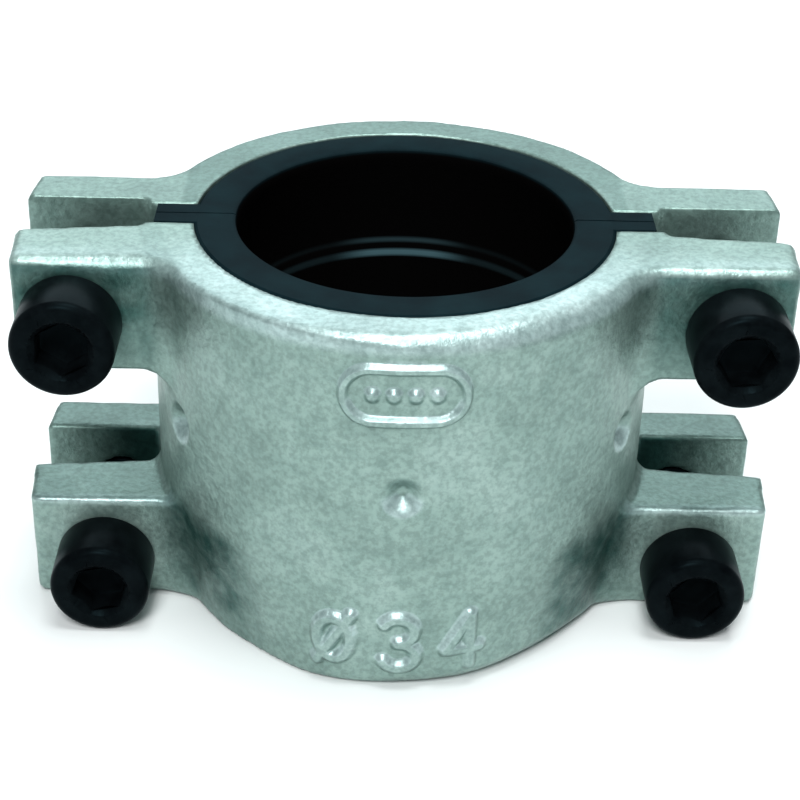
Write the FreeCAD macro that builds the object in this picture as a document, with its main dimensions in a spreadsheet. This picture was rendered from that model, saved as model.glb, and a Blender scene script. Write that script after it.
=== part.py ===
"""Split repair clamp for a 34 mm steel pipe.

Two cast half shells meet face to face across the plane y = 0. Each holds half of a rubber
liner, and four socket head cap screws draw the shells together: they pass through plain holes
in the front lugs and screw into the back lugs.

Millimetres. The origin is on the pipe's axis at mid height, +Z runs up the pipe, -Y is the
front, where the screw heads are, and +X is to the right as seen from the front.
"""

import FreeCAD, Part
import math
import os

import Sketcher

# Driving dimensions, each a named cell of the spreadsheet.
DIMENSIONS = {
    # shells
    "height": 40.0,  # both shells, along the pipe
    "barrel_radius": 25.7,  # outside of the round wall
    "seat_radius": 21.3,  # inside of the round wall, where the rubber sits
    "parting": 2.1,  # half of the gap between the shells' meeting faces
    "front_rounding": 1.0,  # outer edges of the front lugs
    "front_rim_rounding": 1.6,  # outer edges of the front round wall
    "back_rounding": 0.5,
    "back_rim_rounding": 0.5,
    # lugs
    "lug_height": 12.3,
    "lug_root": 22.0,  # the lug's outline starts here, inside the round wall
    "lug_step": 26.2,  # the parting face is cut back beyond this distance
    "tip_inner": 38.8,  # the lug's end at its parting side
    "tip_outer": 38.3,  # the lug's end at its outer face
    "front_face": 11.1,  # outer face of the front lugs, from the parting plane
    "front_relief_near": 3.0,
    "front_relief_far": 4.3,  # the front lugs thin down towards their ends
    "back_face": 8.8,
    "back_relief_near": 3.1,
    "back_relief_far": 3.1,
    "web_radius": 4.0,  # hollow corner between round wall and lug face
    "upper_shelf_radius": 2.6,  # hollow corner between round wall and the lug's inner end
    "lower_shelf_radius": 0.8,
    # marks on the front shell
    "dimple_radius": 2.7,  # of the ball that each dimple is a print of
    "dimple_reach": 27.7,  # the ball's centre from the pipe's axis
    "dimple_rise": 2.9,  # above mid height
    "badge_rise": 14.0,  # middle of the raised oval rim, above mid height
    "badge_spread": 3.0,  # its end arcs' centres from its middle
    "badge_outer": 3.2,
    "badge_inner": 2.3,
    "badge_stand": 0.6,  # how far it stands out of the wall
    # rubber liner
    "liner_radius": 21.2,
    "liner_end": 19.9,  # heights are from mid height
    "liner_bore": 17.4,
    "seal_bore": 17.0,  # three raised bands seal on the pipe: one in the middle, one at each end
    "end_seal": 18.4,
    "end_seal_foot": 17.7,
    "middle_seal": 7.6,
    "middle_seal_foot": 9.0,
    "liner_gap": 0.1,  # half of the joint between the two rubber halves
    "lip_root": 19.5,
    "lip_reach": 25.2,  # the rubber lips fill the gap between the shells
    "lip_face": 2.05,
    # screws, M6 x 20
    "upper_across": 32.6,  # upper screws' axes from the middle, sideways
    "upper_distance": 13.3,  # and from mid height
    "lower_across": 30.7,
    "lower_distance": 14.85,
    "screw_radius": 3.0,
    "screw_length": 20.0,
    "tip_chamfer": 0.6,
    "head_radius": 5.11,
    "head_length": 6.4,
    "head_chamfer": 0.5,
    "head_stand": 0.02,  # bearing face to lug face
    "socket_corner": 2.887,  # centre to corner of the 5 mm hexagon
    "socket_depth": 3.0,
    "plain_hole": 3.3,  # front lugs
    "tapped_hole": 3.05,  # back lugs, over the thread's crests
}

HALVES = {"front": -1, "back": 1}
SIDES = {"left": -1, "right": 1}
LEVELS = {"upper": 1, "lower": -1}
DIMPLE_AZIMUTHS = (-60.0, 0.0, 60.0)  # around the pipe, from straight ahead
ORIGIN_POINT = (-1, 1)  # the sketcher's own name for a sketch's origin
TINY = 1e-3


def make_sheet(doc):
    """The spreadsheet that holds every driving dimension."""
    sheet = doc.addObject("Spreadsheet::Sheet", "dims")
    for row, (alias, value) in enumerate(DIMENSIONS.items(), start=1):
        sheet.set(f"A{row}", alias.replace("_", " "))
        sheet.set(f"B{row}", str(value))
        sheet.setAlias(f"B{row}", alias)
    doc.recompute()
    return sheet


def origin_plane(body, role):
    """One of the body's own origin planes or axes, found by its role."""
    return next(item for item in body.Origin.OriginFeatures if item.Role == role)


def new_body(doc, label):
    body = doc.addObject("PartDesign::Body", label)
    body.Label = label
    return body


def new_sketch(body, name, plane="XY_Plane"):
    sketch = body.newObject("Sketcher::SketchObject", name)
    sketch.AttachmentSupport = [(origin_plane(body, plane), "")]
    sketch.MapMode = "FlatFace"
    return sketch


def bind(sketch, constraint, formula):
    """Adds a constraint and ties its value to a formula on the sheet."""
    index = sketch.addConstraint(constraint)
    sketch.setExpression(f"Constraints[{index}]", formula)


def place_point(sketch, geometry, corner, across, up):
    """Ties a point's two coordinates to (sign, alias) pairs, measured from the origin."""
    for kind, (sign, alias) in (("DistanceX", across), ("DistanceY", up)):
        value = sign * DIMENSIONS[alias]
        constraint = Sketcher.Constraint(kind, *ORIGIN_POINT, geometry, corner, value)
        bind(sketch, constraint, f"{sign} * dims.{alias}")


def add_polygon(sketch, corners):
    """A closed outline of straight lines whose corners are pairs of (sign, alias)."""
    points = []
    for across, up in corners:
        points.append(FreeCAD.Vector(across[0] * DIMENSIONS[across[1]], up[0] * DIMENSIONS[up[1]], 0))
    first = sketch.GeometryCount
    count = len(points)
    for index in range(count):
        sketch.addGeometry(Part.LineSegment(points[index], points[(index + 1) % count]))
    for index in range(count):
        following = first + (index + 1) % count
        sketch.addConstraint(Sketcher.Constraint("Coincident", first + index, 2, following, 1))
    for index, (across, up) in enumerate(corners):
        place_point(sketch, first + index, 1, across, up)


def add_circle(sketch, radius, across=None, up=None):
    """A circle of a bound radius, at the origin or at a bound point."""
    centre = FreeCAD.Vector(0, 0, 0)
    if across:
        centre = FreeCAD.Vector(across[0] * DIMENSIONS[across[1]], up[0] * DIMENSIONS[up[1]], 0)
    circle = sketch.addGeometry(Part.Circle(centre, FreeCAD.Vector(0, 0, 1), DIMENSIONS[radius]))
    bind(sketch, Sketcher.Constraint("Radius", circle, DIMENSIONS[radius]), f"dims.{radius}")
    if across:
        place_point(sketch, circle, 3, across, up)
    else:
        sketch.addConstraint(Sketcher.Constraint("Coincident", circle, 3, *ORIGIN_POINT))


def pad(body, sketch, name, length, both_ways=True):
    feature = body.newObject("PartDesign::Pad", name)
    feature.Profile = sketch
    feature.setExpression("Length", length)
    feature.SideType = "Symmetric" if both_ways else "One side"
    return feature


def pocket_through(body, sketch, name):
    """Cuts a sketch right through the body, both ways from its plane."""
    feature = body.newObject("PartDesign::Pocket", name)
    feature.Profile = sketch
    feature.Type = "ThroughAll"
    feature.SideType = "Symmetric"
    return feature


def must_shrink(doc, body, before):
    """A cut has to take material away."""
    doc.recompute()
    if body.Shape.Volume > before - TINY:
        raise RuntimeError(f"a cut in {body.Label} removed nothing")


def edge_names(shape, wanted):
    """Names of the edges that pass a test on the edge."""
    return [f"Edge{number}" for number, edge in enumerate(shape.Edges, start=1) if wanted(edge)]


def round_edges(doc, base, label, radii):
    """A fillet object over base. radii pairs a test on an edge with the cell of its radius, or
    with two cells: the radius at the end nearer the pipe's axis, and at the other end."""
    fillet = doc.addObject("Part::Fillet", label)
    fillet.Label = label
    fillet.Base = base
    rounded = []
    for wanted, aliases in radii:
        near, far = (aliases, aliases) if isinstance(aliases, str) else aliases
        for number, edge in enumerate(base.Shape.Edges, start=1):
            if wanted(edge):
                first, last = (abs(edge.valueAt(end).x) for end in edge.ParameterRange)
                ends = (near, far) if first < last else (far, near)
                rounded.append((number, *(doc.dims.get(alias) for alias in ends)))
    fillet.Edges = rounded
    doc.recompute()
    return fillet


def same(first, second):
    return abs(first - second) < TINY


def is_upright(edge):
    """True for an edge that runs straight along the pipe."""
    box = edge.BoundBox
    return box.ZLength > 1 and box.XLength < TINY and box.YLength < TINY


def is_level(edge, height):
    """True for an edge that lies flat at one distance from mid height."""
    return edge.BoundBox.ZLength < TINY and same(abs(edge.CenterOfMass.z), height)


def is_arc(edge, radius):
    return isinstance(edge.Curve, Part.Circle) and same(edge.Curve.Radius, radius)


def is_web(edge, face):
    """Upright corner where a lug's outer face leaves the round wall."""
    middle = edge.CenterOfMass
    on_wall = same(middle.x**2 + middle.y**2, DIMENSIONS["barrel_radius"] ** 2)
    return is_upright(edge) and on_wall and same(abs(middle.y), face)


def is_shelf(edge, up):
    """Arc where the inner end of an upper (1) or lower (-1) lug meets the round wall."""
    level = DIMENSIONS["height"] / 2 - DIMENSIONS["lug_height"]
    on_half = edge.CenterOfMass.z * up > 0
    return on_half and is_level(edge, level) and is_arc(edge, DIMENSIONS["barrel_radius"])


def is_rim(edge):
    """Outer edge at either end of the round wall."""
    return is_level(edge, DIMENSIONS["height"] / 2) and is_arc(edge, DIMENSIONS["barrel_radius"])


def is_lug_edge(edge, face):
    """Outer edges of a lug: at the casting's ends, and upright at the tip."""
    middle = edge.CenterOfMass
    near_tip = abs(middle.x) > DIMENSIONS["tip_outer"] - DIMENSIONS["front_rounding"]
    on_face = same(abs(middle.y), face)
    if is_upright(edge):
        return near_tip and on_face
    return is_level(edge, DIMENSIONS["height"] / 2) and (near_tip or on_face)


def is_web_end(edge):
    """Arc at the casting's end that joins the rim to the lug's edge."""
    return is_level(edge, DIMENSIONS["height"] / 2) and is_arc(edge, DIMENSIONS["web_radius"])


def draw_ring(body, half, towards):
    """Half ring of the shell's round wall, with its two meeting faces."""
    sketch = new_sketch(body, f"{half}_ring_outline")
    arcs = []
    for radius in ("barrel_radius", "seat_radius"):
        circle = Part.Circle(FreeCAD.Vector(), FreeCAD.Vector(0, 0, 1), DIMENSIONS[radius])
        middle = circle.parameter(FreeCAD.Vector(0, towards, 0))
        arc = sketch.addGeometry(Part.ArcOfCircle(circle, middle - 1.45, middle + 1.45))
        sketch.addConstraint(Sketcher.Constraint("Coincident", arc, 3, *ORIGIN_POINT))
        bind(sketch, Sketcher.Constraint("Radius", arc, DIMENSIONS[radius]), f"dims.{radius}")
        arcs.append(arc)
    outer, inner = arcs
    for end in (1, 2):
        start_point = sketch.getPoint(outer, end)
        end_point = sketch.getPoint(inner, end)
        line = sketch.addGeometry(Part.LineSegment(start_point, end_point))
        sketch.addConstraint(Sketcher.Constraint("Coincident", line, 1, outer, end))
        sketch.addConstraint(Sketcher.Constraint("Coincident", line, 2, inner, end))
        sketch.addConstraint(Sketcher.Constraint("Horizontal", line))
        value = towards * DIMENSIONS["parting"]
        constraint = Sketcher.Constraint("DistanceY", *ORIGIN_POINT, line, 1, value)
        bind(sketch, constraint, f"{towards} * dims.parting")
    return sketch


def draw_lugs(body, half, towards):
    """Both lug outlines, seen from above."""
    sketch = new_sketch(body, f"{half}_lug_outline")
    for side in SIDES.values():
        corners = [
            ((side, "lug_root"), (towards, "parting")),
            ((side, "lug_step"), (towards, "parting")),
            ((side, "lug_step"), (towards, f"{half}_relief_near")),
            ((side, "tip_inner"), (towards, f"{half}_relief_far")),
            ((side, "tip_outer"), (towards, f"{half}_face")),
            ((side, "lug_root"), (towards, f"{half}_face")),
        ]
        add_polygon(sketch, corners)
    lift = "dims.height / 2 - dims.lug_height"
    sketch.setExpression(".AttachmentOffset.Base.z", lift)
    return sketch


def draw_screw_holes(body, half, radius):
    """Four holes for the screws, seen from the front."""
    sketch = new_sketch(body, f"{half}_screw_holes", "XZ_Plane")
    for side in SIDES.values():
        for level, up in LEVELS.items():
            add_circle(sketch, radius, (side, f"{level}_across"), (up, f"{level}_distance"))
    return sketch


def make_shell(doc, half):
    """A cast half shell: round wall, two lugs on each side, screw holes, and its marks."""
    towards = HALVES[half]
    body = new_body(doc, f"{half}_blank")
    pad(body, draw_ring(body, half, towards), f"{half}_ring", "dims.height")
    lugs = pad(body, draw_lugs(body, half, towards), f"{half}_upper_lugs", "dims.lug_height", False)
    doc.recompute()
    mirrored = body.newObject("PartDesign::Mirrored", f"{half}_lower_lugs")
    mirrored.Originals = [lugs]
    mirrored.MirrorPlane = (origin_plane(body, "XY_Plane"), [""])
    body.Tip = mirrored

    doc.recompute()
    before = body.Shape.Volume
    radius = "plain_hole" if half == "front" else "tapped_hole"
    pocket_through(body, draw_screw_holes(body, half, radius), f"{half}_holes")
    must_shrink(doc, body, before)
    if half == "front":
        add_dimples(doc, body)

    face = DIMENSIONS[f"{half}_face"]
    corners = [
        (lambda edge: is_web(edge, face), "web_radius"),
        (lambda edge: is_shelf(edge, 1), "upper_shelf_radius"),
        (lambda edge: is_shelf(edge, -1), "lower_shelf_radius"),
    ]
    hollowed = round_edges(doc, body, f"{half}_corners", corners)
    rim, lug = f"{half}_rim_rounding", f"{half}_rounding"
    outside = [
        (is_rim, rim),
        (lambda edge: is_lug_edge(edge, face), lug),
        (is_web_end, (rim, lug)),
    ]
    label = "front_casting" if half == "front" else "back_shell"
    rounded = round_edges(doc, hollowed, label, outside)
    return add_badge(doc, rounded) if half == "front" else rounded


def add_dimples(doc, body):
    """Shallow round dimples in the front shell: one in the middle and one at each side."""
    before = body.Shape.Volume
    for number, azimuth in enumerate(DIMPLE_AZIMUTHS, start=1):
        dimple = body.newObject("PartDesign::SubtractiveSphere", f"dimple_{number}")
        dimple.AttachmentSupport = [(origin_plane(body, "XY_Plane"), "")]
        dimple.MapMode = "FlatFace"
        dimple.setExpression("Radius", "dims.dimple_radius")
        dimple.setExpression(".AttachmentOffset.Base.x", f"dims.dimple_reach * sin({azimuth} deg)")
        dimple.setExpression(".AttachmentOffset.Base.y", f"-dims.dimple_reach * cos({azimuth} deg)")
        dimple.setExpression(".AttachmentOffset.Base.z", "dims.dimple_rise")
        body.Tip = dimple
    must_shrink(doc, body, before)


def add_slot(sketch, radius):
    """An oval with straight top and bottom, where the badge is."""
    spread = DIMENSIONS["badge_spread"]
    rise = DIMENSIONS["badge_rise"]
    up = FreeCAD.Vector(0, DIMENSIONS[radius], 0)
    arcs = []
    for side, start in ((1, -math.pi / 2), (-1, math.pi / 2)):
        centre = FreeCAD.Vector(side * spread, rise, 0)
        circle = Part.Circle(centre, FreeCAD.Vector(0, 0, 1), DIMENSIONS[radius])
        arc = sketch.addGeometry(Part.ArcOfCircle(circle, start, start + math.pi))
        arcs.append((arc, centre, side))
    (right, right_centre, _), (left, left_centre, _) = arcs
    top = sketch.addGeometry(Part.LineSegment(right_centre + up, left_centre + up))
    bottom = sketch.addGeometry(Part.LineSegment(left_centre - up, right_centre - up))
    for first, first_end, second, second_end in (
        (right, 2, top, 1),
        (top, 2, left, 1),
        (left, 2, bottom, 1),
        (bottom, 2, right, 1),
    ):
        sketch.addConstraint(Sketcher.Constraint("Tangent", first, first_end, second, second_end))
    sketch.addConstraint(Sketcher.Constraint("Equal", left, right))
    bind(sketch, Sketcher.Constraint("Radius", right, DIMENSIONS[radius]), f"dims.{radius}")
    for arc, _, side in arcs:
        place_point(sketch, arc, 3, (side, "badge_spread"), (1, "badge_rise"))


def add_badge(doc, casting):
    """The casting with its raised oval rim, which follows the round wall. It carries no mark."""
    blank = new_body(doc, "badge_blank")
    sketch = new_sketch(blank, "badge_outline", "XZ_Plane")
    add_slot(sketch, "badge_outer")
    add_slot(sketch, "badge_inner")
    sketch.setExpression(".AttachmentOffset.Base.z", "dims.seat_radius + dims.parting")
    pad(blank, sketch, "badge_pad", "dims.barrel_radius - dims.seat_radius", False)

    skin = doc.addObject("Part::Cylinder", "badge_skin")
    skin.setExpression("Radius", "dims.barrel_radius + dims.badge_stand")
    skin.setExpression("Height", "dims.height")
    skin.setExpression("Placement.Base.z", "-dims.height / 2")
    rim = doc.addObject("Part::Common", "badge_rim")
    rim.Base = blank
    rim.Tool = skin
    whole = doc.addObject("Part::Fuse", "front_shell")
    whole.Label = "front_shell"
    whole.Base = casting
    whole.Tool = rim
    doc.recompute()
    return whole


def make_liner(doc, half):
    """Half of the rubber liner: a half ring with its sealing bands, and two lips."""
    towards = HALVES[half]
    body = new_body(doc, f"{half}_gasket")

    section = new_sketch(body, f"{half}_section", "XZ_Plane")
    add_polygon(section, liner_corners())
    ring = body.newObject("PartDesign::Revolution", f"{half}_ring")
    ring.Profile = section
    ring.ReferenceAxis = (origin_plane(body, "Z_Axis"), [""])
    ring.Angle = 360.0

    lips = new_sketch(body, f"{half}_lip_outline")
    for side in SIDES.values():
        add_polygon(
            lips,
            [
                ((side, "lip_root"), (towards, "liner_gap")),
                ((side, "lip_reach"), (towards, "liner_gap")),
                ((side, "lip_reach"), (towards, "lip_face")),
                ((side, "lip_root"), (towards, "lip_face")),
            ],
        )
    pad(body, lips, f"{half}_lips", "2 * dims.liner_end")
    doc.recompute()

    before = body.Shape.Volume
    other = new_sketch(body, f"{half}_other_half")
    add_polygon(
        other,
        [
            ((-1, "tip_inner"), (towards, "liner_gap")),
            ((1, "tip_inner"), (towards, "liner_gap")),
            ((1, "tip_inner"), (-towards, "tip_inner")),
            ((-1, "tip_inner"), (-towards, "tip_inner")),
        ],
    )
    pocket_through(body, other, f"{half}_split")
    must_shrink(doc, body, before)
    return body


def liner_corners():
    """The liner's section beside the pipe's axis, as pairs of (sign, alias)."""
    upper = [
        ("seal_bore", "middle_seal"),
        ("liner_bore", "middle_seal_foot"),
        ("liner_bore", "end_seal_foot"),
        ("seal_bore", "end_seal"),
        ("seal_bore", "liner_end"),
        ("liner_radius", "liner_end"),
    ]
    corners = [((1, across), (1, up)) for across, up in upper]
    return corners + [((1, across), (-1, up)) for across, up in reversed(upper)]


def make_screw(doc, level, side):
    """A socket head cap screw. Its own Z axis runs from the bearing face out through the head."""
    label = f"screw_{level}_{side}"
    body = new_body(doc, label)

    for name, radius, length, reverse in (
        ("head", "head_radius", "dims.head_length", False),
        ("shank", "screw_radius", "dims.screw_length", True),
    ):
        sketch = new_sketch(body, f"{label}_{name}_outline")
        add_circle(sketch, radius)
        feature = pad(body, sketch, f"{label}_{name}", length, False)
        feature.Reversed = reverse
    doc.recompute()

    for name, radius, end, size in (
        ("rim", "head_radius", DIMENSIONS["head_length"], "head_chamfer"),
        ("point", "screw_radius", -DIMENSIONS["screw_length"], "tip_chamfer"),
    ):
        base = body.Tip
        feature = body.newObject("PartDesign::Chamfer", f"{label}_{name}")
        feature.Base = (base, edge_names(base.Shape, lambda edge: is_ring_at(edge, radius, end)))
        feature.setExpression("Size", f"dims.{size}")
        doc.recompute()

    before = body.Shape.Volume
    add_socket(body, label)
    must_shrink(doc, body, before)

    body.Placement = FreeCAD.Placement(
        FreeCAD.Vector(), FreeCAD.Rotation(FreeCAD.Vector(1, 0, 0), 90)
    )
    body.setExpression("Placement.Base.x", f"{SIDES[side]} * dims.{level}_across")
    body.setExpression("Placement.Base.y", "-dims.front_face - dims.head_stand")
    body.setExpression("Placement.Base.z", f"{LEVELS[level]} * dims.{level}_distance")
    doc.recompute()
    return body


def is_ring_at(edge, radius, end):
    """Full circle of a radius on the sheet, at one distance along the screw."""
    return is_arc(edge, DIMENSIONS[radius]) and same(edge.CenterOfMass.z, end)


def add_socket(body, label):
    """The hexagon socket in the screw's head."""
    sketch = new_sketch(body, f"{label}_socket_outline")
    sketch.setExpression(".AttachmentOffset.Base.z", "dims.head_length")
    corner = DIMENSIONS["socket_corner"]
    circle = sketch.addGeometry(
        Part.Circle(FreeCAD.Vector(), FreeCAD.Vector(0, 0, 1), corner), True
    )
    sketch.addConstraint(Sketcher.Constraint("Coincident", circle, 3, *ORIGIN_POINT))
    bind(sketch, Sketcher.Constraint("Radius", circle, corner), "dims.socket_corner")
    turn = FreeCAD.Rotation(FreeCAD.Vector(0, 0, 1), 60)
    point = FreeCAD.Vector(corner, 0, 0)
    first = sketch.GeometryCount
    for _ in range(6):
        following = turn.multVec(point)
        sketch.addGeometry(Part.LineSegment(point, following))
        point = following
    for index in range(6):
        line = first + index
        following = first + (index + 1) % 6
        sketch.addConstraint(Sketcher.Constraint("Coincident", line, 2, following, 1))
        sketch.addConstraint(Sketcher.Constraint("PointOnObject", line, 1, circle))
        if index:
            sketch.addConstraint(Sketcher.Constraint("Equal", first, line))
    sketch.addConstraint(Sketcher.Constraint("PointOnObject", first, 1, -1))
    socket = body.newObject("PartDesign::Pocket", f"{label}_socket")
    socket.Profile = sketch
    socket.setExpression("Length", "dims.socket_depth")


def check_document(doc, bodies):
    """Stops if any object failed to compute or any sub-part is empty or broken."""
    for item in doc.Objects:
        bad = {"Invalid", "Error"} & set(item.State)
        if bad:
            raise RuntimeError(f"{item.Name} is {sorted(bad)}")
    for body in bodies:
        if body.Shape.isNull() or not body.Shape.isValid():
            raise RuntimeError(f"{body.Label} has no valid shape")
        if len(body.Shape.Solids) != 1:
            raise RuntimeError(f"{body.Label} is {len(body.Shape.Solids)} solids")


def main():
    doc = FreeCAD.newDocument("pipe_repair_clamp")
    make_sheet(doc)
    bodies = [make_shell(doc, half) for half in HALVES]
    bodies += [make_liner(doc, half) for half in HALVES]
    bodies += [make_screw(doc, level, side) for level in LEVELS for side in SIDES]
    doc.recompute()
    check_document(doc, bodies)

    os.makedirs("parts", exist_ok=True)
    for body in bodies:
        body.Shape.exportStep(os.path.join("parts", f"{body.Label}.step"))
        box = body.Shape.BoundBox
        print(
            f"{body.Label:20s} {body.Shape.Volume:9.1f} mm3  "
            f"x {box.XMin:7.2f} {box.XMax:7.2f}  y {box.YMin:7.2f} {box.YMax:7.2f}  "
            f"z {box.ZMin:7.2f} {box.ZMax:7.2f}"
        )


main()
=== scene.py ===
"""Looks of the split pipe repair clamp: cast shells, rubber liner, socket head cap screws, studio.

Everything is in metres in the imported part's own frame: the pipe's axis is Z, the screws' heads
point to -Y. Lengths below are written in millimetres and scaled by MM.
"""

import math

import bmesh
import bpy
import numpy as np
from mathutils import Matrix, Vector


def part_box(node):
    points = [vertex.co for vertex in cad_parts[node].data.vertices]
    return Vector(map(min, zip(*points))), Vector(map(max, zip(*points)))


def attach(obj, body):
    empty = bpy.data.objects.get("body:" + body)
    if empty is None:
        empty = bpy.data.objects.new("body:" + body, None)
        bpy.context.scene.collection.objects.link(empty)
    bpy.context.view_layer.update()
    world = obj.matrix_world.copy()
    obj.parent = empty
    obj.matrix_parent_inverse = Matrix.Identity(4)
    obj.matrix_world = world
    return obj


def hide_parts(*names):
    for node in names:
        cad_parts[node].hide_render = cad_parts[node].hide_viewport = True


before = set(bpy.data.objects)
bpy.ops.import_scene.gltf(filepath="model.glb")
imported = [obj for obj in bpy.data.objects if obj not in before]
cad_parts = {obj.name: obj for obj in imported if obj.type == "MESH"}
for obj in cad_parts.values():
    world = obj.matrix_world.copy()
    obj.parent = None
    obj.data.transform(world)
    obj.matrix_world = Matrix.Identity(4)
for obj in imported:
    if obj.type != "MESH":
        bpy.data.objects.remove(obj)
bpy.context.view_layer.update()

MM = 0.001

# Sizes of the castings in millimetres. The frame gives the first two.
HALF_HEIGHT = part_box("front_shell")[1].z / MM
WALL_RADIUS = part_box("back_shell")[1].y / MM
SEAT_RADIUS = 21.3  # the inner wall that holds the rubber
FRONT_FACE = 11.1  # from the axis to the outer faces of the front lugs
BACK_FACE = 8.8
LUG_HEIGHT = 12.3  # from the lower end of the clamp to the top of the lower lugs
WEB_RADIUS = 4.0  # of the curve between a lug and the wall

SCREWS = [name for name in sorted(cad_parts) if name.startswith("screw_")]
SOCKET_TURNS = (12, 47, 28, 5)  # in degrees, one for each screw


# ---------------------------------------------------------------- mesh helpers


def link(name, mesh):
    piece = bpy.data.objects.new(name, mesh)
    bpy.context.scene.collection.objects.link(piece)
    return piece


def apply_modifiers(piece):
    """Bakes an object's modifiers into its mesh."""
    bpy.context.view_layer.update()
    evaluated = piece.evaluated_get(bpy.context.evaluated_depsgraph_get())
    mesh = bpy.data.meshes.new_from_object(evaluated)
    piece.modifiers.clear()
    piece.data = mesh
    return piece


def shade_smooth(mesh):
    mesh.polygons.foreach_set("use_smooth", [True] * len(mesh.polygons))
    mesh.update()


def read_points(mesh):
    points = np.empty(len(mesh.vertices) * 3)
    mesh.vertices.foreach_get("co", points)
    return points.reshape(-1, 3)


def write_points(mesh, points):
    mesh.vertices.foreach_set("co", points.ravel())
    mesh.update()


def read_normals(mesh):
    normals = np.empty(len(mesh.vertices) * 3)
    mesh.vertex_normals.foreach_get("vector", normals)
    return normals.reshape(-1, 3)


def remeshed(node, name, voxel):
    """A copy of a CAD node's solid with an even mesh of voxel-sized faces."""
    piece = link(name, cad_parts[node].data.copy())
    piece.data.materials.clear()
    remesh = piece.modifiers.new("even", "REMESH")
    remesh.mode = "VOXEL"
    remesh.voxel_size = voxel * MM
    return apply_modifiers(piece)


RELAX_PULL = 0.5
RELAX_PUSH = -0.52


def soften(mesh, rounds):
    """Rounds edges over by relaxing points towards their neighbours, without shrinking."""
    edges = np.empty(len(mesh.edges) * 2, int)
    mesh.edges.foreach_get("vertices", edges)
    first, second = edges.reshape(-1, 2).T
    points = read_points(mesh)
    count = np.bincount(np.concatenate([first, second]), minlength=len(points))[:, None]
    for step in range(2 * rounds):
        total = np.zeros_like(points)
        for axis in range(3):
            total[:, axis] += np.bincount(first, points[second, axis], len(points))
            total[:, axis] += np.bincount(second, points[first, axis], len(points))
        share = RELAX_PULL if step % 2 == 0 else RELAX_PUSH
        points += share * (total / count - points)
    write_points(mesh, points)


def refine(mesh, wanted):
    """Divides the faces whose centres pass a test on an array of points in millimetres."""
    grid = bmesh.new()
    grid.from_mesh(mesh)
    centres = np.array([face.calc_center_median() for face in grid.faces]) / MM
    chosen = wanted(centres)
    grid.faces.ensure_lookup_table()
    edges = {edge for index in np.nonzero(chosen)[0] for edge in grid.faces[index].edges}
    bmesh.ops.subdivide_edges(grid, edges=list(edges), cuts=1, use_grid_fill=True)
    grid.to_mesh(mesh)
    grid.free()


def closed_piece(grid, name):
    """An object from a closed grid of faces, with every face outward."""
    bmesh.ops.recalc_face_normals(grid, faces=grid.faces)
    mesh = bpy.data.meshes.new(name)
    grid.to_mesh(mesh)
    grid.free()
    return link(name, mesh)


def combine(piece, tool, operation):
    """Cuts or joins with a tool solid, and removes the tool."""
    modifier = piece.modifiers.new("combine", "BOOLEAN")
    modifier.operation = operation
    modifier.solver = "EXACT"
    modifier.object = tool
    apply_modifiers(piece)
    bpy.data.objects.remove(tool)


def cut(piece, tool):
    combine(piece, tool, "DIFFERENCE")


def unite(piece, tool):
    combine(piece, tool, "UNION")


def bevel(piece, width, segments, limit):
    """Rounds the edges that are sharper than a limit in degrees."""
    modifier = piece.modifiers.new("rounded", "BEVEL")
    modifier.width = width * MM
    modifier.segments = segments
    modifier.limit_method = "ANGLE"
    modifier.angle_limit = math.radians(limit)
    apply_modifiers(piece)


def smooth_by_angle(mesh, limit):
    """Keeps edges sharper than a limit in degrees crisp."""
    grid = bmesh.new()
    grid.from_mesh(mesh)
    for edge in grid.edges:
        if len(edge.link_faces) == 2 and edge.calc_face_angle() > math.radians(limit):
            edge.smooth = False
    grid.to_mesh(mesh)
    grid.free()


# ---------------------------------------------------------------- fades and noise


def smooth_step(low, high, value):
    """0 below a range, rising smoothly to 1 above it."""
    t = np.clip((value - low) / (high - low), 0, 1)
    return t * t * (3 - 2 * t)


def fade_out(low, high, value):
    """1 below a range, falling smoothly to 0 above it."""
    return 1 - smooth_step(low, high, value)


# Large odd numbers that mix a cell's place into a number that looks random.
CELL_MIX = np.array([374761393, 668265263, 2147483647])
SEED_MIX = 144665
FINAL_MIX = 1274126177
SEED_SHIFT = 17.31


def value_noise(points, size, seed):
    """Smooth noise from -1 to 1 over points in millimetres, with bumps of about one size."""
    scaled = points / size + seed * SEED_SHIFT
    cell = np.floor(scaled).astype(np.int64)
    part = scaled - cell
    part = part * part * (3 - 2 * part)
    total = np.zeros(len(points))
    for corner in range(8):
        step = np.array([corner & 1, (corner >> 1) & 1, (corner >> 2) & 1])
        weight = np.prod(np.where(step, part, 1 - part), axis=1)
        mixed = ((cell + step) * CELL_MIX).sum(axis=1) + seed * SEED_MIX
        mixed = (mixed ^ (mixed >> 13)) * FINAL_MIX
        mixed = (mixed ^ (mixed >> 16)) & 0xFFFFFF
        total += weight * (mixed / 0x7FFFFF - 1)
    return total


# ---------------------------------------------------------------- raised marks on the front shell

STROKE = 0.85  # half width of a raised stroke
STROKE_HEIGHT = 0.56
STROKE_SIDE = (0.3, 1.2)  # where its side starts and ends, in half widths
TEXT_MIDDLE = -14.3
TEXT_HALF = 3.0  # half the height of a figure, to the middle of its strokes
TEXT_WIDE = 1.75  # half its width
TEXT_PITCH = 6.5
BADGE_MIDDLE = 14.0
BADGE_SPREAD = 3.0  # half the straight length of the oval
BADGE_RADIUS = 2.75
BADGE_STROKE = 0.6
BADGE_PIPS = (-3.0, -1.0, 1.0, 3.0)
PIP_RADIUS = 0.85
PIP_HEIGHT = 0.45
DIMPLE_RISE = 2.9
DIMPLE_AZIMUTHS = (-60, 0, 60)
DIMPLE_RADIUS = 2.4
DIMPLE_DEPTH = 1.3

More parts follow.
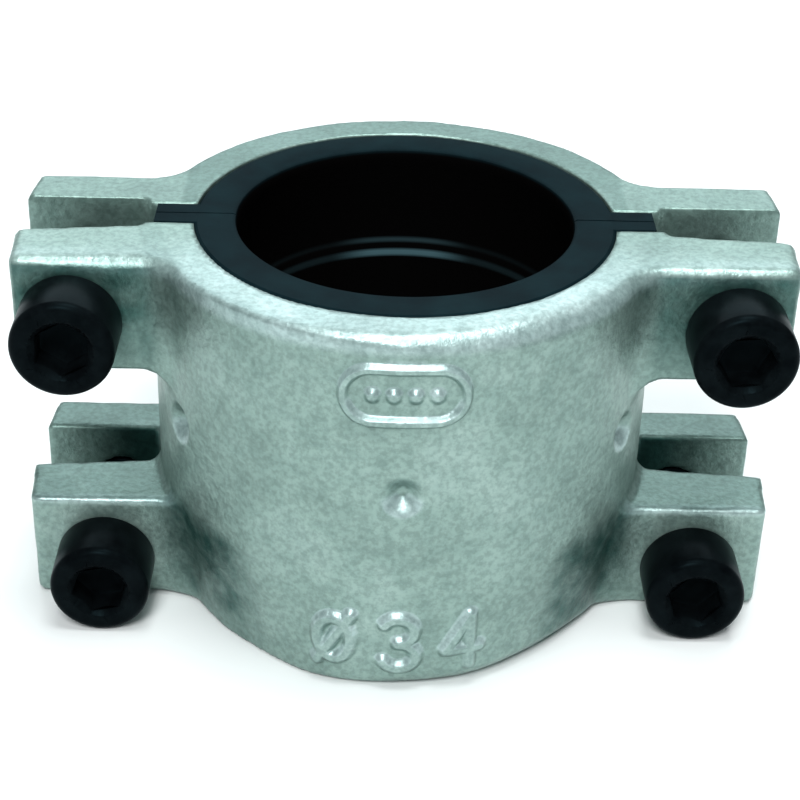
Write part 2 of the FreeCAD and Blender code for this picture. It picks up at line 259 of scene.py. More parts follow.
# The part of the wall that may hold marks. Azimuths are in degrees from straight ahead.
MARKED_REACH = 50
MARKED_REACH_BETWEEN_LUGS = 67
BETWEEN_LUGS = (4.6, 5.8)
WALL_MARGIN = 1.2  # how far from the wall a point may be and still belong to its outer face

# The lower end of the wall is drawn in between these azimuths, and below these heights.
DRAWN_IN = 1.2
DRAWN_FROM = (12, 44)
DRAWN_TO = (58, 68)
DRAWN_BELOW = (4, 19)


def to_segment(across, up, start, end):
    """Distance from points on the unrolled wall to a straight stroke."""
    (x0, y0), (x1, y1) = start, end
    dx, dy = x1 - x0, y1 - y0
    along = np.clip(((across - x0) * dx + (up - y0) * dy) / (dx * dx + dy * dy), 0, 1)
    return np.hypot(across - x0 - along * dx, up - y0 - along * dy)


def to_arc(across, up, centre, radii, start, end):
    """Distance to an arc of an ellipse, from one angle to another, in degrees."""
    steps = np.radians(np.linspace(start, end, 25))
    turned = np.stack([np.cos(steps), np.sin(steps)], 1)
    return to_path(across, up, np.array(centre) + np.array(radii) * turned)


def to_path(across, up, corners):
    """Distance to a run of straight strokes."""
    distance = np.full(len(across), 1e9)
    for start, end in zip(corners[:-1], corners[1:]):
        distance = np.minimum(distance, to_segment(across, up, start, end))
    return distance


def figure_three(across, up):
    bowl = TEXT_HALF / 2
    upper = to_arc(across, up, (0, bowl), (TEXT_WIDE * 0.9, bowl), 150, -90)
    lower = to_arc(across, up, (0, -bowl), (TEXT_WIDE, bowl), 90, -150)
    return np.minimum(upper, lower)


def figure_four(across, up):
    left = (-TEXT_WIDE, -TEXT_HALF * 0.35)
    right = (TEXT_WIDE, -TEXT_HALF * 0.35)
    top = (TEXT_WIDE * 0.4, TEXT_HALF)
    foot = (TEXT_WIDE * 0.4, -TEXT_HALF)
    slanted = to_path(across, up, [top, left, right])
    return np.minimum(slanted, to_segment(across, up, top, foot))


def figure_diameter(across, up):
    ring = to_arc(across, up, (0, 0), (TEXT_WIDE, TEXT_HALF * 0.82), 0, 360)
    slash = to_segment(across, up, (-TEXT_WIDE, -TEXT_HALF), (TEXT_WIDE, TEXT_HALF))
    return np.minimum(ring, slash)


def raised(distance, half_width, height):
    """Height of a stroke with soft sides at a distance from its middle line."""
    start, end = STROKE_SIDE
    return height * fade_out(half_width * start, half_width * end, distance)


def to_dimples(across, up):
    """Distance to the nearest dimple's middle."""
    middles = [math.radians(azimuth) * WALL_RADIUS for azimuth in DIMPLE_AZIMUTHS]
    distances = [np.hypot(across - middle, up - DIMPLE_RISE) for middle in middles]
    return np.minimum.reduce(distances)


def relief(across, up):
    """How far the front shell's wall stands out, in millimetres, over the unrolled wall."""
    figures = (figure_diameter, figure_three, figure_four)
    height = np.zeros(len(across))
    for place, figure in enumerate(figures, start=-1):
        distance = figure(across - place * TEXT_PITCH, up - TEXT_MIDDLE)
        height = np.maximum(height, raised(distance, STROKE, STROKE_HEIGHT))

    left = np.abs(across) - BADGE_SPREAD
    oval = np.hypot(np.maximum(left, 0), up - BADGE_MIDDLE)
    height = np.maximum(height, raised(np.abs(oval - BADGE_RADIUS), BADGE_STROKE, STROKE_HEIGHT))
    for place in BADGE_PIPS:
        distance = np.hypot(across - place, up - BADGE_MIDDLE)
        height = np.maximum(height, raised(distance, PIP_RADIUS, PIP_HEIGHT))
    return height - DIMPLE_DEPTH * fade_out(0, DIMPLE_RADIUS, to_dimples(across, up))


def unrolled(points):
    """Distance round the wall from straight ahead, height, and distance from the pipe's axis."""
    azimuth = np.arctan2(points[:, 0], -points[:, 1])
    return azimuth * WALL_RADIUS, points[:, 2], np.hypot(points[:, 0], points[:, 1])


def on_marked_wall(points):
    """1 on the stretch of the front shell's outer wall that holds marks, fading to 0 round it."""
    across, up, radius = unrolled(points)
    azimuth = np.degrees(np.abs(across) / WALL_RADIUS)
    extra = MARKED_REACH_BETWEEN_LUGS - MARKED_REACH
    reach = MARKED_REACH + extra * fade_out(*BETWEEN_LUGS, np.abs(up))
    inside = fade_out(reach, reach + 5, azimuth)
    inside *= fade_out(HALF_HEIGHT - 2.2, HALF_HEIGHT - 1.5, np.abs(up))
    return inside * (np.abs(radius - WALL_RADIUS) < WALL_MARGIN) * (points[:, 1] < 0)


def near_strokes(points):
    """True round the raised figures and the badge, with a margin."""
    across, up, _ = unrolled(points)
    margin = 1.3 * STROKE
    text = np.abs(across) < TEXT_PITCH + TEXT_WIDE + margin
    text &= np.abs(up - TEXT_MIDDLE) < TEXT_HALF + margin
    margin = 1.35 * BADGE_STROKE
    badge = np.abs(across) < BADGE_SPREAD + BADGE_RADIUS + margin
    badge &= np.abs(up - BADGE_MIDDLE) < BADGE_RADIUS + margin
    return (text | badge) & (on_marked_wall(points) > 0)


def near_marks(points):
    """True where the relief isn't flat, with a margin."""
    across, up, _ = unrolled(points)
    dimples = to_dimples(across, up) < DIMPLE_RADIUS + 0.5
    return near_strokes(points) | dimples & (on_marked_wall(points) > 0)


def print_marks(mesh):
    """Moves the outer wall's points to the wall's radius plus the relief."""
    points = read_points(mesh) / MM
    across, up, radius = unrolled(points)
    weight = on_marked_wall(points)
    wanted = WALL_RADIUS + relief(across, up)
    scale = 1 + weight * (wanted / np.maximum(radius, 1) - 1)
    points[:, :2] *= scale[:, None]
    write_points(mesh, points * MM)


def draw_in(mesh):
    """Flattens the lower end of the wall a little on its way to the lugs."""
    points = read_points(mesh) / MM
    across, up, radius = unrolled(points)
    azimuth = np.degrees(np.abs(across) / WALL_RADIUS)
    weight = smooth_step(*DRAWN_FROM, azimuth) * fade_out(*DRAWN_TO, azimuth)
    weight *= smooth_step(*DRAWN_BELOW, -up)
    weight *= smooth_step(WALL_RADIUS - 2.5, WALL_RADIUS - 0.8, radius)
    points[:, :2] *= (1 - DRAWN_IN * weight / radius)[:, None]
    write_points(mesh, points * MM)


UNEVEN_LAYERS = ((0.055, 5.0), (0.03, 2.1), (0.016, 0.9))  # height and size of the bumps
UNEVEN_SINK = 0.05  # keeps the bumps inside the solid's own outline


def roughen(mesh, seed):
    """The slight unevenness of a sand casting under its zinc."""
    points = read_points(mesh) / MM
    uneven = np.full(len(points), -UNEVEN_SINK)
    for layer, (height, size) in enumerate(UNEVEN_LAYERS):
        uneven += height * value_noise(points, size, seed + layer)
    points += read_normals(mesh) * uneven[:, None]
    write_points(mesh, points * MM)


def true_seat(mesh):
    """Brings the wall that holds the rubber back to a true cylinder."""
    points = read_points(mesh) / MM
    radius = np.hypot(points[:, 0], points[:, 1])
    inward = -(read_normals(mesh)[:, :2] * points[:, :2]).sum(1) / radius
    near = fade_out(0.4, 0.6, np.abs(radius - SEAT_RADIUS))
    weight = near * smooth_step(0.15, 0.45, inward)
    scale = 1 + weight * (SEAT_RADIUS / radius - 1)
    points[:, :2] *= scale[:, None]
    write_points(mesh, points * MM)


def store(mesh, name, values):
    """Keeps a value from 0 to 1 at each point, for the materials to read."""
    layer = mesh.attributes.new(name, "FLOAT", "POINT")
    layer.data.foreach_set("value", np.clip(values, 0, 1).astype(np.float32))


# How strong each painted shade on the zinc is, from 0 to 1.
UPPER_HOLLOW = 0.46
LOWER_HOLLOW = 0.8
BACK_HOLLOW = 0.4  # the back casting's hollows, beside the front one's
LUG_FACE_SHADE = 0.85
WALL_SHADE = 0.15
MARK_SHADE = 0.32
LOWER_LUG_TOP_SHADE = 0.34
BACK_RIM_SHADE = 0.2
BACK_RIM_MIDDLE_SHADE = 0.48
OUTER_GAP_SHADE = 0.25

# How bright each painted highlight on the edges is, and how far the marks' faces wear, from 0 to
# 1.
LUG_EDGE_HIGHLIGHT = 0.55
LUG_CORNER_HIGHLIGHT = 0.11
LOWER_LUG_EDGE_HIGHLIGHT = 0.8
MARK_FACE_WEAR = 0.25


def shade_hollows(mesh, half):
    """Stores 1 where painted shade darkens the castings' colour, with some dross in the corners
    beside the lugs; fading to 0.
    """
    face = FRONT_FACE if half == "front" else BACK_FACE
    points = read_points(mesh) / MM
    normals = read_normals(mesh)
    side = np.abs(points[:, 0])
    depth = np.abs(points[:, 1])
    height = points[:, 2]
    upper = height > 0
    facing = normals[:, 1] * np.sign(points[:, 1])
    patchy = 1 + 0.35 * value_noise(points, 1.7, 5) + 0.25 * value_noise(points, 0.6, 9)
    # How far out a lug's face ends and its web starts to curve into the wall.
    web_across = math.sqrt((WALL_RADIUS + WEB_RADIUS) ** 2 - (face + WEB_RADIUS) ** 2)

    # Painted shade, with some dross, in the hollows beside the lugs. The lower ones lean inwards.
    lower_middle = web_across - 5.6 + 0.12 * (height + 8)
    beside = side - np.where(upper, web_across + 0.8, lower_middle)
    spread = fade_out(2.0, np.where(beside > 0, 7.5, 7.0), np.abs(beside))
    upper_fade = smooth_step(6, 16.5, height) * fade_out(18.4, 19.2, height)
    lower_fade = smooth_step(5.0, 8.5, -height) * (1 - 0.5 * smooth_step(16, 20, -height))
    strength = np.where(upper, UPPER_HOLLOW * upper_fade, LOWER_HOLLOW * lower_fade)
    strength = strength * (1 if half == "front" else BACK_HOLLOW)
    outside = (depth > face - 1.5) * smooth_step(-0.2, 0.25, facing)
    shade = spread * strength * patchy * outside

    # Painted shade on the upper lugs' faces, under the edge.
    on_lug = smooth_step(web_across - 3, web_across, side) * smooth_step(0.5, 0.8, facing)
    under_edge = smooth_step(3, 14, height) * fade_out(19.0, 19.5, height)
    lug_face = LUG_FACE_SHADE * on_lug * under_edge * (0.6 + 0.4 * patchy)

    # Painted shadow in the gaps between the lugs, darkest at their inner ends on the lower lugs.
    inner_end = fade_out(28.5, 36.5, side) * (height < 0)
    gap = smooth_step(0.4, 0.8, -facing) * (OUTER_GAP_SHADE + (1 - OUTER_GAP_SHADE) * inner_end)
    gap *= (side > WALL_RADIUS - 2) * (depth < face - 2)

    # Painted shade on the wall, towards the sides.
    azimuth = np.degrees(np.arctan2(side, depth))
    on_wall = np.abs(np.hypot(side, depth) - WALL_RADIUS) < WALL_MARGIN
    wall = WALL_SHADE * on_wall * smooth_step(12, 40, azimuth)

    # Painted shade on the lower lugs' tops under the upper lugs, on the back rim, and on the
    # undersides of the marks.
    level = smooth_step(0.7, 0.9, normals[:, 2])
    lug_top = LOWER_LUG_TOP_SHADE * level * (height < 0) * (side > web_across - 2)
    if half == "front":
        extra = MARK_SHADE * near_marks(points) * smooth_step(0.1, 0.45, -normals[:, 2])
    else:
        rim = np.where(side < web_across - 4, BACK_RIM_MIDDLE_SHADE, BACK_RIM_SHADE)
        extra = level * upper * rim
    store(mesh, "hollow", np.maximum.reduce([shade, lug_face, gap, wall, lug_top, extra]))


def paint_highlights_and_wear(mesh, half):
    """Stores 1 where highlights are painted on the front casting's rim, edges and marks, and where
    the marks' faces wear; fading to 0.
    """
    points = read_points(mesh) / MM
    side = np.abs(points[:, 0])
    depth = -points[:, 1]
    height = points[:, 2]

    # Painted highlight on the rim, and on the upper lugs' edges, less on their very corners.
    top = smooth_step(HALF_HEIGHT - 2.1, HALF_HEIGHT - 1.3, height)
    rim = fade_out(50, 85, np.degrees(np.arctan2(side, depth)))
    corner = smooth_step(FRONT_FACE - 1.0, FRONT_FACE - 0.5, depth) * (side > 24)
    edge = smooth_step(FRONT_FACE - 3.8, FRONT_FACE - 1.3, depth)
    edge *= LUG_EDGE_HIGHLIGHT + (LUG_CORNER_HIGHLIGHT - LUG_EDGE_HIGHLIGHT) * corner

    # Painted highlight on the lower lugs' upper edges.
    lower_edge = fade_out(0.3, 0.9, np.abs(height + HALF_HEIGHT - LUG_HEIGHT))
    lower_edge *= smooth_step(FRONT_FACE - 1.2, FRONT_FACE - 0.5, depth)
    lower_edge *= LOWER_LUG_EDGE_HIGHLIGHT * smooth_step(22.8, 24.2, side)

    # The marks: painted highlight where they face up, and wear where they stand out.
    across, up, _ = unrolled(points)
    facing_up = smooth_step(0.04, 0.28, read_normals(mesh)[:, 2])
    standing_out = MARK_FACE_WEAR * (relief(across, up) > 0.3)
    marks = near_marks(points) * np.maximum(facing_up, standing_out)

    highlight_and_wear = np.maximum.reduce([top * np.maximum(rim, edge), lower_edge, marks])
    highlight_and_wear *= half == "front"
    store(mesh, "highlight_and_wear", highlight_and_wear * (1 + 0.12 * value_noise(points, 1.2, 21)))


# ---------------------------------------------------------------- materials


def new_material(name):
    material = bpy.data.materials.new(name)
    material.use_nodes = True
    nodes = material.node_tree.nodes
    return material, nodes, material.node_tree.links, nodes["Principled BSDF"]


def add_noise(nodes, links, coords, scale, detail, roughness):
    noise = nodes.new("ShaderNodeTexNoise")
    noise.inputs["Scale"].default_value = scale
    noise.inputs["Detail"].default_value = detail
    noise.inputs["Roughness"].default_value = roughness
    links.new(coords.outputs["Object"], noise.inputs["Vector"])
    return noise.outputs["Fac"]


def add_attribute(nodes, name):
    """Reads one of the values that store keeps at the mesh's points."""
    attribute = nodes.new("ShaderNodeAttribute")
    attribute.attribute_name = name
    return attribute.outputs["Fac"]


def add_ramp(nodes, links, value, stops):
    """Colours at positions from 0 to 1, blended in between."""
    ramp = nodes.new("ShaderNodeValToRGB")
    while len(ramp.color_ramp.elements) < len(stops):
        ramp.color_ramp.elements.new(0.5)
    for element, (position, colour) in zip(ramp.color_ramp.elements, stops):
        element.position = position
        element.color = (*colour, 1)
    links.new(value, ramp.inputs["Fac"])
    return ramp.outputs["Color"]


def add_mix(nodes, links, mode, factor, first, second):
    """Mixes two colours. Each input is a number, a colour or another node's output."""
    mix = nodes.new("ShaderNodeMix")
    mix.data_type = "RGBA"
    mix.blend_type = mode
    sockets = (mix.inputs[0], mix.inputs[6], mix.inputs[7])  # factor, and colours A and B
    for socket, given in zip(sockets, (factor, first, second)):
        if isinstance(given, (int, float)):
            socket.default_value = given
        elif isinstance(given, tuple):
            socket.default_value = (*given, 1)
        else:
            links.new(given, socket)
    return mix.outputs[2]


def add_range(nodes, links, value, low, high):
    """Maps 0..1 onto low..high."""
    spread = nodes.new("ShaderNodeMapRange")
    spread.inputs["To Min"].default_value = low
    spread.inputs["To Max"].default_value = high
    links.new(value, spread.inputs["Value"])
    return spread.outputs["Result"]


def add_bump(nodes, links, layers, shader):
    """Stacks bump layers of (height, strength, distance in millimetres)."""
    previous = None
    for height, strength, distance in layers:
        bump = nodes.new("ShaderNodeBump")
        bump.inputs["Strength"].default_value = strength
        bump.inputs["Distance"].default_value = distance * MM
        links.new(height, bump.inputs["Height"])
        if previous:
            links.new(previous, bump.inputs["Normal"])
        previous = bump.outputs["Normal"]
    links.new(previous, shader.inputs["Normal"])


def make_zinc():
    """Hot-dip galvanised iron: grey with a green cast, sandy; painted shade with some dross
    darkens the hollows, and painted highlights brighten the rim, edges and marks.
    """
    material, nodes, links, shader = new_material("galvanised_casting")
    coords = nodes.new("ShaderNodeTexCoord")
    patches = add_noise(nodes, links, coords, 110, 4, 0.6)
    lumps = add_noise(nodes, links, coords, 520, 4, 0.6)
    grain = add_noise(nodes, links, coords, 1700, 3, 0.6)
    tones = [(0.32, (0.215, 0.31, 0.28)), (0.5, (0.255, 0.365, 0.33)), (0.7, (0.31, 0.425, 0.39))]
    colour = add_ramp(nodes, links, patches, tones)
    mottle = add_ramp(nodes, links, lumps, [(0.36, (0.8, 0.83, 0.83)), (0.62, (1.12, 1.1, 1.1))])
    colour = add_mix(nodes, links, "MULTIPLY", 0.6, colour, mottle)
    speckle = add_ramp(nodes, links, grain, [(0.38, (0.72, 0.74, 0.74)), (0.6, (1.1, 1.1, 1.1))])
    colour = add_mix(nodes, links, "MULTIPLY", 0.7, colour, speckle)

    # Painted shade, with some dross in the corners: the stored values darken the zinc.
    shade_and_dross = add_mix(nodes, links, "MULTIPLY", 1.0, colour, (0.11, 0.25, 0.24))
    colour = add_mix(nodes, links, "MIX", add_attribute(nodes, "hollow"), colour, shade_and_dross)
    # Painted highlights on the rim and edges, and wear on the marks, brighten the zinc.
    brightened = add_mix(nodes, links, "MULTIPLY", 1.0, colour, (1.62, 1.48, 1.6))
    colour = add_mix(nodes, links, "MIX", add_attribute(nodes, "highlight_and_wear"), colour, brightened)
    links.new(colour, shader.inputs["Base Color"])
    shader.inputs["Metallic"].default_value = 0.6
    links.new(add_range(nodes, links, lumps, 0.3, 0.52), shader.inputs["Roughness"])
    add_bump(nodes, links, [(lumps, 0.7, 0.16), (grain, 0.7, 0.07)], shader)
    return material


def make_rubber():
    """Moulded black rubber with a faint bloom, painted shade in the bore and painted highlights on
    its middle band.
    """
    material, nodes, links, shader = new_material("black_rubber")
    coords = nodes.new("ShaderNodeTexCoord")
    bloom = add_noise(nodes, links, coords, 220, 4, 0.6)
    pores = add_noise(nodes, links, coords, 2600, 2, 0.5)
    tones = [(0.35, (0.003, 0.009, 0.012)), (0.7, (0.006, 0.017, 0.021))]
    colour = add_ramp(nodes, links, bloom, tones)
    # Painted shade in the bore, and painted highlights on the middle band's edges.
    bore, lit = (0.0015, 0.0012, 0.0012), (0.06, 0.12, 0.14)
    colour = add_mix(nodes, links, "MIX", add_attribute(nodes, "bore"), colour, bore)
    colour = add_mix(nodes, links, "MIX", add_attribute(nodes, "lit"), colour, lit)
    links.new(colour, shader.inputs["Base Color"])
    links.new(add_range(nodes, links, bloom, 0.5, 0.7), shader.inputs["Roughness"])
    shader.inputs["Specular IOR Level"].default_value = 0.02
    shader.inputs["Specular Tint"].default_value = (0.6, 0.92, 1, 1)
    add_bump(nodes, links, [(bloom, 0.25, 0.08), (pores, 0.35, 0.02)], shader)
    return material


def make_black_steel():
    """Black oxide steel with a thin film of oil."""
    material, nodes, links, shader = new_material("black_oxide_steel")
    coords = nodes.new("ShaderNodeTexCoord")
    stains = add_noise(nodes, links, coords, 420, 4, 0.6)
    grain = add_noise(nodes, links, coords, 3200, 2, 0.5)
    tones = [(0.35, (0.0015, 0.002, 0.0025)), (0.7, (0.004, 0.006, 0.007))]
    colour = add_ramp(nodes, links, stains, tones)
    links.new(colour, shader.inputs["Base Color"])
    shader.inputs["Metallic"].default_value = 0.05
    shader.inputs["Specular IOR Level"].default_value = 0.02
    shader.inputs["Specular Tint"].default_value = (0.4, 0.85, 1, 1)
    links.new(add_range(nodes, links, stains, 0.22, 0.42), shader.inputs["Roughness"])
    add_bump(nodes, links, [(stains, 0.15, 0.05), (grain, 0.25, 0.012)], shader)
    return material


# ---------------------------------------------------------------- the clamp's pieces


def place(piece, node, body, slot, material):
    """Gives a finished piece smooth shading and its material, hangs it on its body and hides the
    CAD node that it stands for.
    """
    shade_smooth(piece.data)
    piece.data.materials.clear()
    piece.data.materials.append(material)
    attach(piece, body)
    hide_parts(node)


def make_shell(half, voxel, seed, material):
    """A casting: the CAD solid with soft edges, marks, an uneven skin, and its painted shades and
    highlights.
    """
    node = f"{half}_shell"
    piece = remeshed(node, f"{half}_casting", voxel)
    soften(piece.data, 2)
    if half == "front":
        refine(piece.data, near_marks)
        refine(piece.data, near_strokes)
        print_marks(piece.data)
        draw_in(piece.data)
    roughen(piece.data, seed)
    true_seat(piece.data)
    shade_hollows(piece.data, half)
    paint_highlights_and_wear(piece.data, half)
    place(piece, node, f"{half}_half", "galvanised_casting", material)


# The liner's section beside the pipe's axis, upper half, from its middle band outwards.
LINER_RADIUS = 21.2
LINER_END = 19.9
LINER_SECTION = (
    (17.0, 7.0),
    (17.0, 7.35),
    (17.07, 7.7),
    (17.12, 8.05),
    (17.2, 8.6),
    (17.3, 8.9),
    (17.4, 9.05),
    (17.4, 9.4),
    (17.4, 17.7),
    (17.02, 18.4),
    (17.02, LINER_END - 0.45),
    (17.14, LINER_END - 0.14),
    (17.45, LINER_END),
    (LINER_RADIUS - 0.25, LINER_END),
    (LINER_RADIUS, LINER_END - 0.25),
)
LINER_GAP = 0.1  # from the joint's middle to either half
LINER_STEPS = 121
BORE_REACH = 17.6  # rubber nearer to the axis than this is in the bore
LIP_ROOT = 20.2
LIP_REACH = 25.2
LIP_FACE = 2.05

# Where the middle band's edges catch light: height, half width and strength.
LIT_SHOULDERS = ((7.52, 0.25, 1.0), (8.95, 0.15, 0.25))


def make_liner(half, towards, material):
    """Half of the rubber: a swept half ring and the two lips that close the lug gap."""
    node = f"{half}_gasket"
    section = list(LINER_SECTION)
    section += [(radius, -height) for radius, height in reversed(LINER_SECTION)]
    grid = bmesh.new()
    rings = []
    for angle in np.linspace(0, math.pi, LINER_STEPS):
        ring = []
        for radius, height in section:
            depth = max(radius * math.sin(angle), LINER_GAP) * towards
            ring.append(grid.verts.new((radius * MM * math.cos(angle), depth * MM, height * MM)))
        rings.append(ring)
    for one, other in zip(rings[:-1], rings[1:]):
        for index in range(len(section)):
            following = (index + 1) % len(section)
            grid.faces.new([one[index], one[following], other[following], other[index]])
    grid.faces.new(rings[0])
    grid.faces.new(list(reversed(rings[-1])))
    piece = closed_piece(grid, f"{half}_liner")
    for side in (-1, 1):
        unite(piece, make_lip(side, towards))
    bevel(piece, 0.2, 3, 50)
    shade_bore(piece.data)
    place(piece, node, f"{half}_half", "black_rubber", material)
    smooth_by_angle(piece.data, 40)


def shade_bore(mesh):
    """Stores painted shade on the rubber in the bore, and a painted highlight where its middle
    band's edges catch light.
    """
    points = read_points(mesh) / MM
    height = points[:, 2]
    radius = np.hypot(points[:, 0], points[:, 1])
    in_bore = radius < BORE_REACH
    store(mesh, "bore", in_bore * fade_out(LINER_END - 0.4, LINER_END, np.abs(height)))
    lit = np.zeros(len(points))
    for middle, half_width, strength in LIT_SHOULDERS:
        lit += strength * (np.abs(height - middle) < half_width)
    store(mesh, "lit", lit * in_bore * (0.12 + 0.88 * fade_out(3, 8, np.abs(points[:, 0]))))


def make_lip(side, towards):
    """A flat tongue of rubber beside the half ring."""
    grid = bmesh.new()
    middle = ((LIP_ROOT + LIP_REACH) / 2 * side, (LINER_GAP + LIP_FACE) / 2 * towards, 0)
    size = (LIP_REACH - LIP_ROOT, LIP_FACE - LINER_GAP, 2 * LINER_END - 0.02)
    stretch = Matrix.Diagonal([*(length * MM for length in size), 1])
    form = Matrix.Translation(Vector(middle) * MM) @ stretch
    bmesh.ops.create_cube(grid, size=1, matrix=form)
    return closed_piece(grid, "lip")


# M6 x 20 socket head cap screw, along its own Z: 0 is under the head, the head is above.
HEAD_RADIUS = 5.08
HEAD_LENGTH = 6.4
HEAD_ROUND = 0.9
HEAD_FOOT = 0.18  # the small chamfer under the head
HEX_ACROSS = 5.0
HEX_DEPTH = 3.1
HEX_TIP = 0.8  # the drill's cone below the hexagon
LEAD_IN = 0.35
SHANK_LENGTH = 20.0
THREAD_RADIUS = 2.98
THREAD_DEPTH = 0.6
THREAD_PITCH = 1.0
THREAD_FLANK = (0.12, 0.9)  # where a flank starts and ends, in half pitches
NECK_LENGTH = 0.5
SEGMENTS = 72
THREAD_SEGMENTS = 48
ROWS_PER_PITCH = 14


def lathe(name, profile, segments=SEGMENTS):
    """A closed solid from (radius, height) pairs turned round Z, the ends on the axis."""
    grid = bmesh.new()
    rings = []
    for radius, height in profile:
        if radius == 0:
            rings.append([grid.verts.new((0, 0, height * MM))])
            continue
        ring = []
        for step in range(segments):
            angle = 2 * math.pi * step / segments
            x, y = radius * MM * math.cos(angle), radius * MM * math.sin(angle)
            ring.append(grid.verts.new((x, y, height * MM)))
        rings.append(ring)
    for low, high in zip(rings[:-1], rings[1:]):
        for step in range(segments):
            following = (step + 1) % segments
            corners = [low[step % len(low)], low[following % len(low)]]
            corners += [high[following % len(high)], high[step % len(high)]]
            grid.faces.new(list(dict.fromkeys(corners)))
    return closed_piece(grid, name)


def make_head(name):
    """The screw's head: a rounded cylinder with a hexagon socket that has a turned lead-in."""
    top = HEAD_LENGTH
    profile = [(0, 0), (HEAD_RADIUS - HEAD_FOOT, 0), (HEAD_RADIUS, HEAD_FOOT)]
    for angle in np.linspace(0, math.pi / 2, 7):
        inset = HEAD_ROUND * (1 - math.cos(angle))
        profile.append((HEAD_RADIUS - inset, top - HEAD_ROUND * (1 - math.sin(angle))))
    profile.append((0, top))
    head = lathe(name, profile)
    corner = HEX_ACROSS / math.sqrt(3)
    floor = top - HEX_DEPTH
    drill = [(0, floor - HEX_TIP), (corner * 0.85, floor), (corner, floor)]
    drill += [(corner, top + 1), (0, top + 1)]
    cut(head, lathe("hexagon", drill, 6))
    rim = corner + LEAD_IN
    cone = [(0, top - rim), (rim + 1, top + 1), (0, top + 1)]
    cut(head, lathe("lead_in", cone))
    bevel(head, 0.12, 2, 28)
    return head


def make_shank(name):
    """The threaded shank, as one helical surface with flat-topped threads."""
    rows = int(SHANK_LENGTH / THREAD_PITCH * ROWS_PER_PITCH) + 1
    heights = -np.linspace(0.0, SHANK_LENGTH, rows)
    angles = np.linspace(0, 2 * math.pi, THREAD_SEGMENTS, endpoint=False)
    height, angle = np.meshgrid(heights, angles, indexing="ij")
    turn = (height / THREAD_PITCH - angle / (2 * math.pi)) % 1.0
    crest = 1 - np.abs(2 * turn - 1)
    depth = THREAD_DEPTH * fade_out(*THREAD_FLANK, crest)
    depth = np.where(height > -NECK_LENGTH, THREAD_DEPTH * 0.6, depth)
    chamfer = THREAD_RADIUS - THREAD_DEPTH * 1.3 + SHANK_LENGTH + height
    radius = np.minimum(THREAD_RADIUS - depth, chamfer)
    points = np.stack([radius * np.cos(angle), radius * np.sin(angle), height], -1) * MM

    grid = bmesh.new()
    verts = [[grid.verts.new(point) for point in row] for row in points]
    for upper, lower in zip(verts[:-1], verts[1:]):
        for step in range(THREAD_SEGMENTS):
            following = (step + 1) % THREAD_SEGMENTS
            grid.faces.new([upper[step], lower[step], lower[following], upper[following]])
    grid.faces.new(verts[0])
    grid.faces.new(list(reversed(verts[-1])))
    return closed_piece(grid, name)


def join(first, second):
    """One object from two, without overlap between their solids."""
    grid = bmesh.new()
    grid.from_mesh(first.data)
    grid.from_mesh(second.data)
    grid.to_mesh(first.data)
    grid.free()
    bpy.data.objects.remove(second)


def make_screw(node, turn, material):
    """A screw in its place, its socket turned by an angle of its own."""
    low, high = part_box(node)
    across = (low.x + high.x) / 2
    rise = (low.z + high.z) / 2
    seat = low.y + HEAD_LENGTH * MM
    piece = make_head(node.replace("screw", "cap_screw"))
    join(piece, make_shank("shank"))
    stand_up = Matrix.Translation((across, seat, rise)) @ Matrix.Rotation(math.pi / 2, 4, "X")
    piece.data.transform(stand_up @ Matrix.Rotation(math.radians(turn), 4, "Z"))
    place(piece, node, f"{node}_body", "black_oxide_steel", material)
    smooth_by_angle(piece.data, 32)


# ---------------------------------------------------------------- studio


def make_floor():
    bpy.ops.mesh.primitive_plane_add(size=6, location=(0, 0, -HALF_HEIGHT * MM))
    floor = bpy.context.object
    floor.name = "floor"
    material, nodes, links, shader = new_material("pale_floor")
    coords = nodes.new("ShaderNodeTexCoord")
    tone = add_noise(nodes, links, coords, 3, 2, 0.5)
    colour = add_ramp(nodes, links, tone, [(0.3, (0.86, 0.87, 0.87)), (0.7, (0.88, 0.885, 0.885))])
    links.new(colour, shader.inputs["Base Color"])
    shader.inputs["Roughness"].default_value = 0.75
    floor.data.materials.append(material)


# Soft boxes aimed at the clamp: name, watts, size, place and colour.
SOFT_BOXES = (
    ("overhead", 4.4, (0.4, 0.3), (0.06, 0.0, 0.75), (0.95, 1.0, 1.0)),
    ("front_key", 4.3, (0.22, 0.3), (-0.08, -0.5, 0.6), (0.97, 1.0, 1.0)),
    ("rear_card", 2.8, (0.9, 0.4), (0.0, 0.75, 0.45), (0.86, 0.97, 1.0)),
)
SKY_COLOUR = (0.86, 0.96, 1.0, 1)
SKY_STRENGTH = 0.27


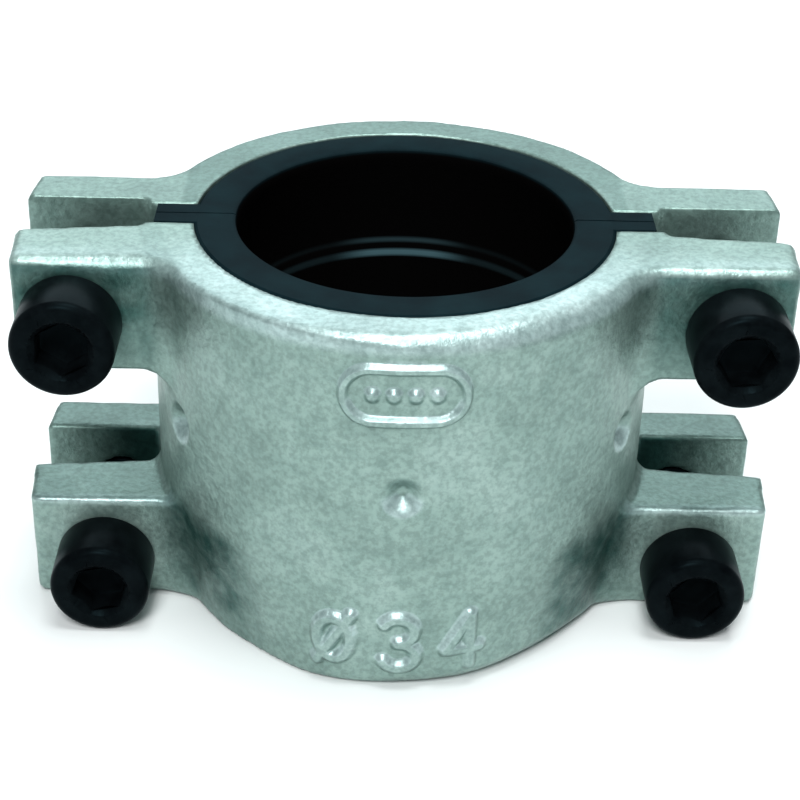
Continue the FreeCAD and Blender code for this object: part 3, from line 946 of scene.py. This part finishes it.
def add_soft_box(name, power, size, place_at, colour):
    data = bpy.data.lights.new(name, "AREA")
    data.energy = power
    data.shape = "RECTANGLE"
    data.size, data.size_y = size
    data.color = colour
    lamp = bpy.data.objects.new(name, data)
    lamp.location = place_at
    lamp.rotation_euler = (-Vector(place_at)).to_track_quat("-Z", "Y").to_euler()
    bpy.context.scene.collection.objects.link(lamp)


def light_studio():
    scene = bpy.context.scene
    scene.view_settings.view_transform = "Standard"
    world = bpy.data.worlds.new("studio")
    scene.world = world
    world.use_nodes = True
    background = world.node_tree.nodes["Background"]
    background.inputs["Color"].default_value = SKY_COLOUR
    background.inputs["Strength"].default_value = SKY_STRENGTH
    for soft_box in SOFT_BOXES:
        add_soft_box(*soft_box)


# The camera stands in front of the clamp and looks 31 degrees down at it. The place is in
# millimetres and the angles are in radians.
CAMERA_AT = (-2.96, -167.59, 98.72)
CAMERA_PITCH = 0.542
CAMERA_YAW = 0.008
CAMERA_ROLL = 0.023
LENS = 82.0
SHIFT = (0.0188, 0.0045)


def make_camera():
    ahead = math.cos(CAMERA_PITCH)
    forward = Vector(
        (math.sin(CAMERA_YAW) * ahead, math.cos(CAMERA_YAW) * ahead, -math.sin(CAMERA_PITCH))
    )
    level = Vector((math.cos(CAMERA_YAW), -math.sin(CAMERA_YAW), 0))
    upright = level.cross(forward)
    right = level * math.cos(CAMERA_ROLL) + upright * math.sin(CAMERA_ROLL)
    up = right.cross(forward)
    data = bpy.data.cameras.new("camera")
    data.lens = LENS
    data.sensor_width = 36.0
    data.clip_start = 0.01
    data.shift_x, data.shift_y = SHIFT
    camera = bpy.data.objects.new("camera", data)
    turn = Matrix((right, up, -forward)).transposed().to_4x4()
    camera.matrix_world = Matrix.Translation(Vector(CAMERA_AT) * MM) @ turn
    bpy.context.scene.collection.objects.link(camera)
    bpy.context.scene.camera = camera


# ---------------------------------------------------------------- the scene

make_camera()
make_floor()
light_studio()

zinc = make_zinc()
rubber = make_rubber()
black_steel = make_black_steel()

make_shell("front", voxel=0.42, seed=3, material=zinc)
make_shell("back", voxel=0.4, seed=8, material=zinc)
make_liner("front", towards=-1, material=rubber)
make_liner("back", towards=1, material=rubber)
for screw, socket_turn in zip(SCREWS, SOCKET_TURNS):
    make_screw(screw, socket_turn, black_steel)
